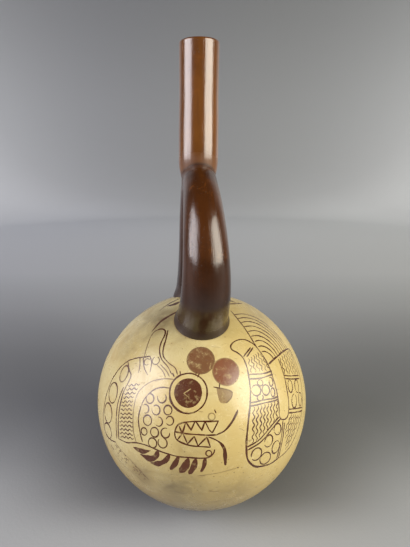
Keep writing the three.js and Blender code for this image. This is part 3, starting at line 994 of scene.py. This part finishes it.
class Graph:
    """A material's nodes, added and linked by short calls."""

    def __init__(self, name):
        self.material = bpy.data.materials.new(name)
        self.material.use_nodes = True
        self.tree = self.material.node_tree
        self.shader = self.tree.nodes["Principled BSDF"]

    def node(self, kind, inputs=(), **settings):
        made = self.tree.nodes.new(kind)
        for key, value in settings.items():
            setattr(made, key, value)
        for key, value in dict(inputs).items():
            self.set(made.inputs[key], value)
        return made

    def set(self, socket, value):
        if isinstance(value, bpy.types.NodeSocket):
            self.tree.links.new(value, socket)
        else:
            socket.default_value = value

    def attribute(self, name, output="Fac"):
        return self.node("ShaderNodeAttribute", attribute_name=name).outputs[output]

    def math(self, operation, a, b=0.0, clamp=False):
        made = self.node("ShaderNodeMath", operation=operation, use_clamp=clamp)
        self.set(made.inputs[0], a)
        self.set(made.inputs[1], b)
        return made.outputs[0]

    def scaled(self, vector, scale):
        made = self.node("ShaderNodeMapping", {"Vector": vector, "Scale": scale})
        return made.outputs[0]

    def noise(self, vector, scale, detail=3.0, roughness=0.55, distortion=0.0):
        inputs = {"Vector": vector, "Scale": scale, "Detail": detail}
        inputs |= {"Roughness": roughness, "Distortion": distortion}
        return self.node("ShaderNodeTexNoise", inputs).outputs["Fac"]

    def cells(self, vector, scale):
        made = self.node("ShaderNodeTexVoronoi", {"Vector": vector, "Scale": scale})
        return made.outputs["Distance"]

    def ramp(self, value, low, high, to_low=0.0, to_high=1.0):
        made = self.node(
            "ShaderNodeMapRange",
            {"Value": value, "From Min": low, "From Max": high, "To Min": to_low, "To Max": to_high},
            interpolation_type="SMOOTHSTEP",
        )
        return made.outputs[0]

    def mix(self, share, a, b):
        made = self.node("ShaderNodeMix", data_type="RGBA", clamp_factor=True)
        self.set(made.inputs[0], share)
        self.set(made.inputs[6], a)
        self.set(made.inputs[7], b)
        return made.outputs[2]

    def finish(self, colour, roughness, height, bump):
        self.set(self.shader.inputs["Base Color"], colour)
        self.set(self.shader.inputs["Roughness"], roughness)
        made = self.node("ShaderNodeBump", {"Height": height, "Distance": bump, "Strength": 1.0})
        self.set(self.shader.inputs["Normal"], made.outputs[0])
        return self.material


def cream_slip():
    g = Graph("cream_slip")
    place = g.node("ShaderNodeTexCoord").outputs["Object"]
    grain = g.attribute("grain", "Vector")
    clouds = g.noise(place, 22, 4, 0.6, 0.4)
    patches = g.noise(place, 75, 4, 0.62, 0.6)
    mottle = g.noise(place, 420, 3, 0.6)
    brushed = g.noise(g.scaled(grain, (22, 22, 260)), 1, 4, 0.6, 0.3)
    parts = g.node("ShaderNodeSeparateXYZ", {"Vector": place})

    colour = g.mix(g.ramp(clouds, 0.36, 0.66), srgb(192, 179, 130), srgb(186, 166, 108))
    colour = g.mix(g.math("MULTIPLY", g.ramp(patches, 0.5, 0.72), 0.6), colour, srgb(170, 146, 88))
    # Painted shade: the ball darker towards its underside, darkest near the floor
    painted_low_shade = g.math("MULTIPLY", g.ramp(parts.outputs["Z"], 0.085, 0.02), 0.7)
    colour = g.mix(painted_low_shade, colour, srgb(150, 126, 72))
    under = g.math("MULTIPLY", g.ramp(parts.outputs["Z"], 0.05, 0.014), 0.75)
    colour = g.mix(under, colour, srgb(92, 74, 40))
    # Painted light: the ball's right side lighter and yellower, where the warm lamp on the right falls
    painted_right_light = g.math("MULTIPLY", g.ramp(parts.outputs["X"], -0.02, 0.05), 0.6)
    colour = g.mix(painted_right_light, colour, srgb(206, 182, 116))
    colour = g.mix(g.math("MULTIPLY", g.ramp(brushed, 0.52, 0.75), 0.3), colour, srgb(168, 144, 92))
    colour = g.mix(g.math("MULTIPLY", g.ramp(mottle, 0.55, 0.8), 0.35), colour, srgb(228, 216, 172))
    stain = g.math("MULTIPLY", g.attribute("stain"), g.ramp(patches, 0.25, 0.62, 0.45, 1.45))
    colour = g.mix(stain, colour, srgb(104, 90, 62))

    # Specks: small dark grains, thicker in some places
    specks = g.ramp(g.cells(place, 300), 0.14, 0.06)
    specks = g.math("MULTIPLY", specks, g.ramp(g.noise(place, 50, 2), 0.5, 0.6))
    colour = g.mix(g.math("MULTIPLY", specks, 0.7), colour, srgb(92, 66, 38))
    scuffs = g.ramp(g.noise(g.scaled(place, (90, 500, 90)), 1, 4, 0.7, 2.0), 0.62, 0.72)
    scuffs = g.math("MULTIPLY", scuffs, g.ramp(clouds, 0.45, 0.6))
    colour = g.mix(g.math("MULTIPLY", scuffs, 0.4), colour, srgb(130, 104, 62))
    scratches = g.ramp(g.noise(g.scaled(place, (60, 900, 420)), 1, 2, 0.5, 1.2), 0.69, 0.72)
    colour = g.mix(g.math("MULTIPLY", scratches, 0.5), colour, srgb(110, 82, 46))

    # The painting: thin where the brush ran dry or the slip is rubbed
    tone = g.attribute("tone")
    pigment = g.mix(tone, srgb(66, 27, 10), srgb(120, 72, 46))
    pigment = g.mix(g.math("MULTIPLY", g.ramp(patches, 0.42, 0.7), 0.4), pigment, srgb(92, 50, 16))
    rubbed = g.noise(place, 310, 5, 0.68, 0.5)
    worn = g.math("MULTIPLY", g.attribute("wear"), 0.3)
    cover = g.math("SUBTRACT", g.ramp(rubbed, 0.5, 0.8, 1.1, 0.35), worn)
    ink = g.math("MULTIPLY", g.attribute("ink"), g.math("MINIMUM", cover, 0.985), clamp=True)
    colour = g.mix(ink, colour, pigment)

    # Soil gathered in the joint with the arch and red slip brushed over it, then a dark line of soil
    # and painted shade in the crease itself
    joint = g.attribute("joint")
    ragged = g.math("ADD", joint, g.ramp(patches, 0.3, 0.7, -0.5, 0.5))
    colour = g.mix(g.ramp(ragged, 2.6, 0.4, 0.0, 0.45), colour, srgb(110, 78, 44))
    colour = g.mix(g.ramp(ragged, 0.55, 0.2), colour, srgb(58, 30, 16))

    roughness = g.ramp(patches, 0.3, 0.7, 0.24, 0.36)
    g.shader.inputs["Specular IOR Level"].default_value = 0.7
    relief = g.math("ADD", g.math("MULTIPLY", mottle, 0.35), g.math("MULTIPLY", brushed, 0.5))
    relief = g.math("ADD", relief, g.math("MULTIPLY", patches, 0.9))
    relief = g.math("SUBTRACT", relief, g.math("MULTIPLY", g.math("ADD", specks, scratches), 0.5))
    return g.finish(colour, roughness, relief, 0.00008)


# Light and dark tones of the red slip: on the spout, then on the arch, darker for smoke from the kiln
# and for painted shade
RED_TONES = [
    (srgb(108, 66, 24), srgb(72, 38, 10)),
    (srgb(84, 47, 14), srgb(52, 26, 7)),
]


def red_slip():
    g = Graph("red_slip")
    place = g.node("ShaderNodeTexCoord").outputs["Object"]
    grain = g.attribute("grain", "Vector")
    clouds = g.noise(place, 30, 4, 0.6, 0.5)
    strokes = g.noise(g.scaled(grain, (420, 420, 28)), 1, 4, 0.65, 0.2)
    fine = g.noise(g.scaled(grain, (1500, 1500, 90)), 1, 3, 0.6)
    patches = g.noise(place, 130, 4, 0.65, 0.4)
    from_crown = g.math("ABSOLUTE", g.node("ShaderNodeSeparateXYZ", {"Vector": grain}).outputs["Z"])

    on_arch = g.attribute("tone")
    light, dark = (g.mix(on_arch, *pair) for pair in RED_TONES)
    colour = g.mix(g.ramp(clouds, 0.35, 0.68), light, dark)
    colour = g.mix(g.math("MULTIPLY", g.ramp(strokes, 0.42, 0.7), 0.5), colour, dark)
    colour = g.mix(g.math("MULTIPLY", g.ramp(patches, 0.56, 0.74), 0.35), colour, srgb(122, 72, 28))
    # Smoke and painted shade: the arch darker towards its feet, which stand in shadow above the ball
    smoke_and_shade = g.math("MULTIPLY", g.math("MULTIPLY", on_arch, g.ramp(from_crown, 0.045, 0.1)), 0.85)
    colour = g.mix(smoke_and_shade, colour, srgb(34, 18, 9))
    spots = g.cells(place, 520)
    pits = g.math("MULTIPLY", g.ramp(spots, 0.14, 0.05), g.ramp(g.noise(place, 75, 2), 0.52, 0.62))
    colour = g.mix(g.math("MULTIPLY", pits, 0.8), colour, srgb(38, 18, 10))
    # Soil and painted shade in the creases where the arch meets the ball and the spout
    joint = g.attribute("joint")
    ragged = g.math("ADD", joint, g.ramp(patches, 0.3, 0.7, -0.4, 0.4))
    colour = g.mix(g.ramp(ragged, 1.6, 0.1, 0.0, 0.6), colour, srgb(30, 14, 8))

    roughness = g.math("ADD", g.ramp(strokes, 0.3, 0.75, 0.17, 0.27), g.math("MULTIPLY", pits, 0.3))
    roughness = g.math("ADD", roughness, g.ramp(joint, 8, 2, 0.0, 0.3))
    relief = g.math("ADD", g.math("MULTIPLY", strokes, 0.5), g.math("MULTIPLY", fine, 0.25))
    relief = g.math("ADD", relief, g.math("MULTIPLY", clouds, 1.0))
    relief = g.math("SUBTRACT", relief, g.math("MULTIPLY", pits, 0.8))
    g.shader.inputs["IOR"].default_value = 1.5
    g.shader.inputs["Specular IOR Level"].default_value = 0.55
    g.set(g.shader.inputs["Coat Weight"], g.ramp(on_arch, 0, 1, 0.7, 0.2))
    g.shader.inputs["Coat Roughness"].default_value = 0.15
    g.shader.inputs["Coat IOR"].default_value = 1.5
    return g.finish(colour, roughness, relief, 0.0003)


def raw_clay():
    g = Graph("raw_clay")
    place = g.node("ShaderNodeTexCoord").outputs["Object"]
    body = g.noise(place, 120, 5, 0.65)
    grit = g.noise(place, 900, 3, 0.6)
    colour = g.mix(g.ramp(body, 0.35, 0.68), srgb(150, 104, 68), srgb(112, 76, 50))
    colour = g.mix(g.math("MULTIPLY", g.ramp(grit, 0.56, 0.72), 0.4), colour, srgb(74, 52, 36))
    relief = g.math("ADD", g.math("MULTIPLY", body, 1.0), g.math("MULTIPLY", grit, 0.6))
    return g.finish(colour, g.ramp(grit, 0.3, 0.7, 0.82, 0.95), relief, 0.0005)


# ---- Studio ----------------------------------------------------------------------------------


# Painted light and shade on the backdrop, by distance behind the vessel's axis in metres: painted
# darkness well in front of the vessel, a painted shadow close behind it, lighter further back, darker
# again where it bends up into the wall
BACKDROP_PAINTED_LIGHT = [(-0.9, 0.03), (-0.45, 0.05), (-0.22, 0.1), (-0.1, 0.33), (-0.03, 0.36), (0.01, 0.25)]
BACKDROP_PAINTED_LIGHT += [(0.06, 0.18), (0.12, 0.15), (0.2, 0.18), (0.32, 0.28), (0.5, 0.42)]
BACKDROP_PAINTED_LIGHT += [(0.9, 0.62), (1.2, 0.66), (1.35, 0.42), (1.55, 0.25)]
LEFT_LIGHT_TINT, RIGHT_LIGHT_TINT = (0.88, 0.93, 1.03, 1), (1.0, 1.05, 1.08, 1)  # painted tint of the lamps' light, a faint blue, dimmer on the left, by side
SWEEP_SIDES = 96


def backdrop():
    """A round grey floor that sweeps up into a wall. Light and shade are painted on it by place: a
    painted shadow round the vessel's foot and behind it, painted darkness in front of it and at the far
    sides."""
    wall, bend, top = 1.55, 0.35, 1.9
    profile = [(x, 0.0) for x in np.linspace(0.0, wall - bend, 12)]
    profile += [tuple(p) for p in arc(bend, wall - bend, bend, -math.pi / 2, 0, 16)[1:]]
    profile += [(wall, z) for z in np.linspace(bend, top, 8)[1:]]
    turn = np.linspace(0, 2 * np.pi, SWEEP_SIDES + 1)[:-1]
    points, faces = [(0, 0, 0)], []
    for radius, height in profile[1:]:
        points += [(radius * math.cos(t), radius * math.sin(t), height) for t in turn]
    for i in range(SWEEP_SIDES):
        j = (i + 1) % SWEEP_SIDES
        faces.append((0, 1 + i, 1 + j))
        for k in range(len(profile) - 2):
            a = 1 + k * SWEEP_SIDES
            b = a + SWEEP_SIDES
            faces.append((a + i, b + i, b + j, a + j))
    mesh = bpy.data.meshes.new("studio_sweep")
    mesh.from_pydata(points, [], faces)
    mesh.polygons.foreach_set("use_smooth", np.ones(len(mesh.polygons), bool))
    sweep = bpy.data.objects.new("studio_sweep", mesh)
    bpy.context.scene.collection.objects.link(sweep)

    g = Graph("pale_grey")
    place = g.node("ShaderNodeTexCoord").outputs["Object"]
    parts = g.node("ShaderNodeSeparateXYZ", {"Vector": place})
    first, last = BACKDROP_PAINTED_LIGHT[0][0], BACKDROP_PAINTED_LIGHT[-1][0]
    behind = g.node(
        "ShaderNodeMapRange", {"Value": parts.outputs["Y"], "From Min": first, "From Max": last}
    ).outputs[0]
    painted_light_ramp = g.node("ShaderNodeValToRGB", {"Fac": behind})
    painted_light_ramp.color_ramp.interpolation = "B_SPLINE"
    while len(painted_light_ramp.color_ramp.elements) < len(BACKDROP_PAINTED_LIGHT):
        painted_light_ramp.color_ramp.elements.new(0.5)
    for element, (at, shade) in zip(painted_light_ramp.color_ramp.elements, BACKDROP_PAINTED_LIGHT):
        element.position = (at - first) / (last - first)
        element.color = (shade, shade, shade, 1)
    level = g.scaled(place, (1, 1, 0))
    reach = g.node("ShaderNodeVectorMath", {0: level}, operation="LENGTH").outputs["Value"]
    # Painted shadow on the floor round the vessel's foot and behind it
    not_in_front = g.ramp(parts.outputs["Y"], -0.06, -0.02)
    painted_foot_shadow = g.math("MULTIPLY", g.ramp(reach, 0.04, 0.16, 0.6, 0.0), not_in_front)
    colour = g.mix(painted_foot_shadow, painted_light_ramp.outputs["Color"], srgb(40, 39, 40))
    # Painted shade: the wall darker higher up
    painted_wall_dimming = g.math("MULTIPLY", g.ramp(parts.outputs["Z"], 0.2, 1.0), 0.6)
    colour = g.mix(painted_wall_dimming, colour, srgb(96, 97, 98))
    # Painted light: the lamps' faint blue tint, dimmer on the left side
    painted_lamp_tint = g.mix(g.ramp(parts.outputs["X"], -0.5, 0.4), LEFT_LIGHT_TINT, RIGHT_LIGHT_TINT)
    tinted_by_lamps = g.node("ShaderNodeMix", {"Factor": 1.0}, data_type="RGBA", blend_type="MULTIPLY")
    g.set(tinted_by_lamps.inputs[6], colour)
    g.set(tinted_by_lamps.inputs[7], painted_lamp_tint)
    # Painted darkness at the far sides of the backdrop, so little of them shows in the vessel's
    # reflections
    painted_dark_far_sides = g.ramp(g.math("ABSOLUTE", parts.outputs["X"]), 0.95, 1.4, 0.0, 0.75)
    colour = g.mix(painted_dark_far_sides, tinted_by_lamps.outputs[2], srgb(30, 30, 31))
    grain = g.noise(place, 500, 2)
    sweep.data.materials.append(g.finish(colour, 0.85, grain, 0.0001))
    return sweep


LAMP_DISTANCE = 1.3  # from the vessel's axis


def softbox(name, azimuth, bottom, top, width, colour, power):
    """An upright soft light, at an azimuth from the front, that faces the vessel's axis."""
    light = bpy.data.lights.new(name, "AREA")
    light.shape = "RECTANGLE"
    light.size, light.size_y = width, top - bottom
    light.color = colour
    light.energy = power
    lamp = bpy.data.objects.new(name, light)
    a = math.radians(azimuth)
    inward = Vector((-math.sin(a), math.cos(a), 0))
    lamp.location = -inward * LAMP_DISTANCE + Vector((0, 0, (bottom + top) / 2))
    lamp.rotation_euler = inward.to_track_quat("-Z", "Y").to_euler()
    lamp.visible_camera = False
    bpy.context.scene.collection.objects.link(lamp)


def camera():
    """In front of the vessel and above it, tilted down."""
    data = bpy.data.cameras.new("camera")
    data.sensor_width = 36
    data.lens = 25.54
    tilt = 17
    made = bpy.data.objects.new("camera", data)
    made.location = (0.0021, -0.2342, 0.2245)
    made.rotation_euler = (math.radians(90 - tilt), 0, 0)
    bpy.context.scene.collection.objects.link(made)
    bpy.context.scene.camera = made


def studio():
    backdrop()
    softbox("left_window", -66, 0.13, 1.35, 1.1, (1.0, 0.95, 0.98), 32)
    softbox("right_window", 60, 0.13, 1.35, 1.14, (1.0, 0.94, 0.81), 37)
    softbox("left_fill", -140, 0.15, 1.3, 1.1, (0.92, 0.95, 1.0), 0.5)
    softbox("right_fill", 135, 0.15, 1.3, 1.1, (1.0, 0.96, 0.9), 0.9)
    world = bpy.data.worlds.new("soft_room")
    world.use_nodes = True
    world.node_tree.nodes["Background"].inputs["Color"].default_value = (0.8, 0.87, 1.0, 1)
    world.node_tree.nodes["Background"].inputs["Strength"].default_value = 0.03
    bpy.context.scene.world = world


# ---- The scene -------------------------------------------------------------------------------

vessel = vessel_piece()
for material in (cream_slip(), red_slip(), raw_clay()):
    vessel.data.materials.append(material)
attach(vessel, "root")
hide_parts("vessel")

studio()
camera()
bpy.context.scene.view_settings.view_transform = "Standard"
